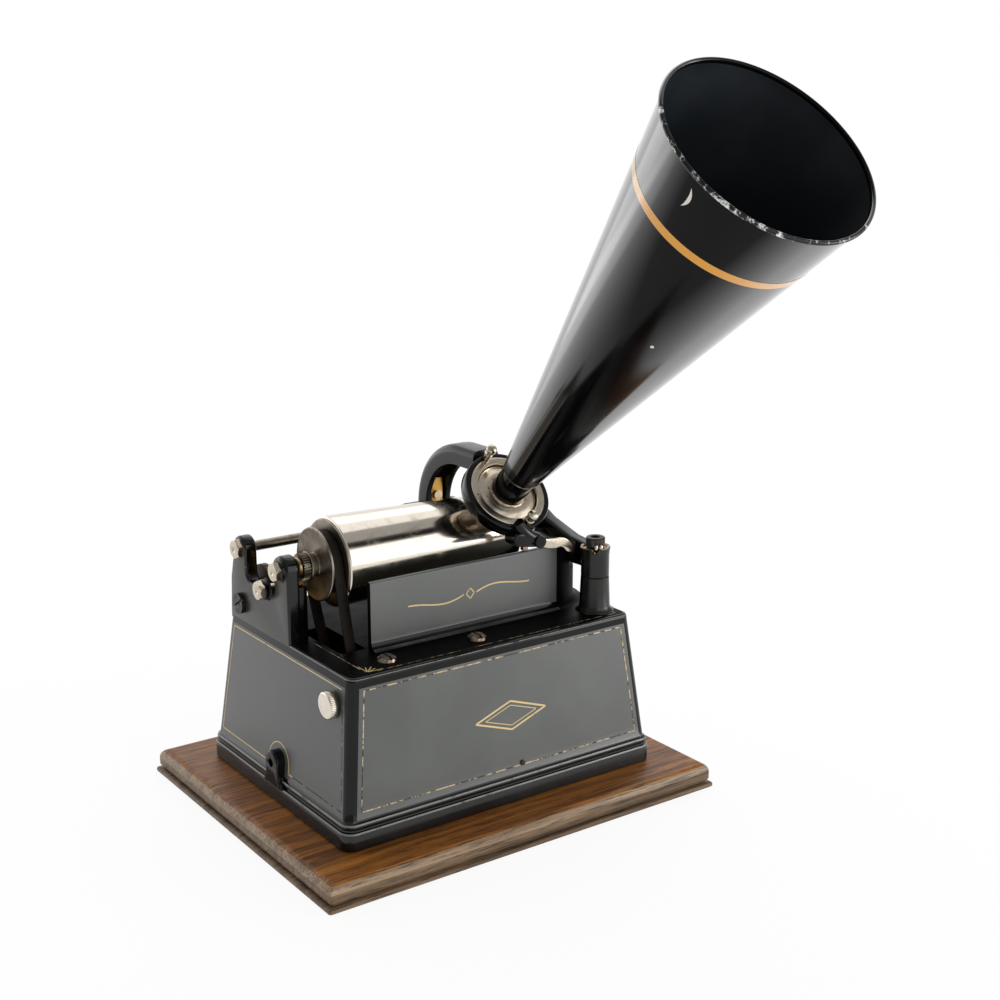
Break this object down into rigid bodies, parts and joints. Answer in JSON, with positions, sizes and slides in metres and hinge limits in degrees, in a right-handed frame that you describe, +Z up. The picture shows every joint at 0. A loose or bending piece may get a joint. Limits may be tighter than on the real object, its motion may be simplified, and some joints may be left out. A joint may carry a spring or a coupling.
{
  "type": "cylinder phonograph",
  "caption": "Spring-driven cylinder phonograph: oak board, black cast case, belt-driven tapered mandrel, gear-fed reproducer carriage and a straight conical horn.",
  "frame": {"origin": "centre of the board's underside", "axes": "+X right along the mandrel, +Y to the back, +Z up"},
  "size_m": [0.24, 0.3422, 0.3823],
  "materials": {
    "oak": "worn varnish",
    "black_japan": "gloss black japan",
    "nickel": "worn nickel plate",
    "steel": "dull steel",
    "brass": "aged brass",
    "cast_iron": "as cast",
    "leather": "dark belt leather",
    "mica": "clear mica"
  },
  "bodies": {
    "base": {"base_board": "oak", "board_screws": "steel", "plinth": "black_japan", "case": "black_japan", "case_lugs": "black_japan", "bed_plate": "black_japan", "bed_screws": "steel", "back_rod": "steel", "rod_nuts": "nickel", "mandrel_pivot": "nickel", "idler_stud": "nickel", "feed_pivots": "steel", "clamp_screw": "steel", "gate_spindle": "nickel", "brake_spring": "brass", "motor_frame": "cast_iron", "belt": "leather", "key_bush": "brass"},
    "mandrel_body": {"mandrel": "nickel", "mandrel_shaft": "steel", "mandrel_pulley": "steel", "mandrel_pinion": "steel"},
    "idler_body": {"idler_gear": "brass", "idler_bush": "steel"},
    "feed_body": {"feed_gear": "steel", "feed_screw": "steel"},
    "carriage": {"guide_sleeve": "steel"},
    "carrier": {"carrier_arm": "black_japan", "nut_spring": "brass", "half_nut": "brass", "nut_screw": "nickel", "eye_screws": "nickel", "reproducer_body": "nickel", "face_plate": "nickel", "diaphragm": "mica"},
    "weight_body": {"float_weight": "steel", "stylus": "steel"},
    "horn_body": {"horn": "black_japan"},
    "lever_body": {"lift_lever": "nickel"},
    "gate_body": {"gate": "black_japan", "gate_centre": "nickel"},
    "knob_body": {"speed_knob": "nickel"},
    "barrel_body": {"spring_barrel": "brass", "great_wheel": "brass", "mainspring": "steel"},
    "arbor_body": {"winding_arbor": "steel"},
    "second_body": {"second_arbor": "steel", "second_pinion": "steel", "second_wheel": "brass"},
    "drive_body": {"drive_arbor": "steel", "drive_pinion": "steel", "drive_pulley": "steel", "governor_wheel": "brass"},
    "governor_body": {"governor_spindle": "steel", "governor_pinion": "steel", "governor_collars": "brass", "governor_springs": "brass"}
  },
  "joints": [
    {"name": "mandrel_spin", "type": "hinge", "parent": "base", "child": "mandrel_body", "pos_m": [0, 0.0032, 0.1352], "axis": [1, 0, 0], "continuous": true},
    {"name": "idler_spin", "type": "hinge", "parent": "base", "child": "idler_body", "pos_m": [-0.077, 0.01986, 0.12122], "axis": [1, 0, 0], "continuous": true},
    {"name": "feed_spin", "type": "hinge", "parent": "base", "child": "feed_body", "pos_m": [0, 0.04509, 0.11493], "axis": [1, 0, 0], "continuous": true},
    {"name": "carriage_slide", "type": "slide", "parent": "base", "child": "carriage", "axis": [1, 0, 0], "range_m": [-0.084, 0.001]},
    {"name": "carrier_lift", "type": "hinge", "parent": "carriage", "child": "carrier", "pos_m": [0.0326, 0.05, 0.1356], "axis": [1, 0, 0], "range_deg": [-40, 0]},
    {"name": "weight_swing", "type": "hinge", "parent": "carrier", "child": "weight_body", "pos_m": [0.0326, -0.00705, 0.16808], "axis": [1, 0, 0], "range_deg": [-3, 0]},
    {"name": "horn_turn", "type": "hinge", "parent": "carrier", "child": "horn_body", "pos_m": [0.0326, -0.02721, 0.16561], "axis": [0, -0.7071, 0.7071], "continuous": true},
    {"name": "lever_lift", "type": "hinge", "parent": "carrier", "child": "lever_body", "pos_m": [0.0386, -0.04, 0.1414], "axis": [0, 1, 0], "range_deg": [-50, 0]},
    {"name": "gate_swing", "type": "hinge", "parent": "base", "child": "gate_body", "pos_m": [0.0753, -0.0478, 0.12], "axis": [0, 0, 1], "range_deg": [-100, 0]},
    {"name": "speed_turn", "type": "hinge", "parent": "base", "child": "knob_body", "pos_m": [-0.09, -0.0505, 0.0818], "axis": [1, 0, 0], "range_deg": [-180, 180]},
    {"name": "barrel_spin", "type": "hinge", "parent": "base", "child": "barrel_body", "pos_m": [0, 0.02, 0.053], "axis": [1, 0, 0], "continuous": true},
    {"name": "winding_turn", "type": "hinge", "parent": "base", "child": "arbor_body", "pos_m": [0, 0.02, 0.053], "axis": [1, 0, 0], "continuous": true},
    {"name": "second_spin", "type": "hinge", "parent": "base", "child": "second_body", "pos_m": [0, -0.0106, 0.03706], "axis": [1, 0, 0], "continuous": true},
    {"name": "drive_spin", "type": "hinge", "parent": "base", "child": "drive_body", "pos_m": [0, -0.024, 0.054], "axis": [1, 0, 0], "continuous": true},
    {"name": "governor_spin", "type": "hinge", "parent": "base", "child": "governor_body", "pos_m": [0, -0.0381, 0.05913], "axis": [1, 0, 0], "continuous": true}
  ],
  "couplings": [
    {"joint": "idler_spin", "follows": "mandrel_spin", "ratio": -0.45},
    {"joint": "feed_spin", "follows": "mandrel_spin", "ratio": 0.61364},
    {"joint": "drive_spin", "follows": "mandrel_spin", "ratio": 1.5395},
    {"joint": "second_spin", "follows": "mandrel_spin", "ratio": -0.30791},
    {"joint": "barrel_spin", "follows": "mandrel_spin", "ratio": 0.046186},
    {"joint": "governor_spin", "follows": "mandrel_spin", "ratio": -6.1581}
  ]
}
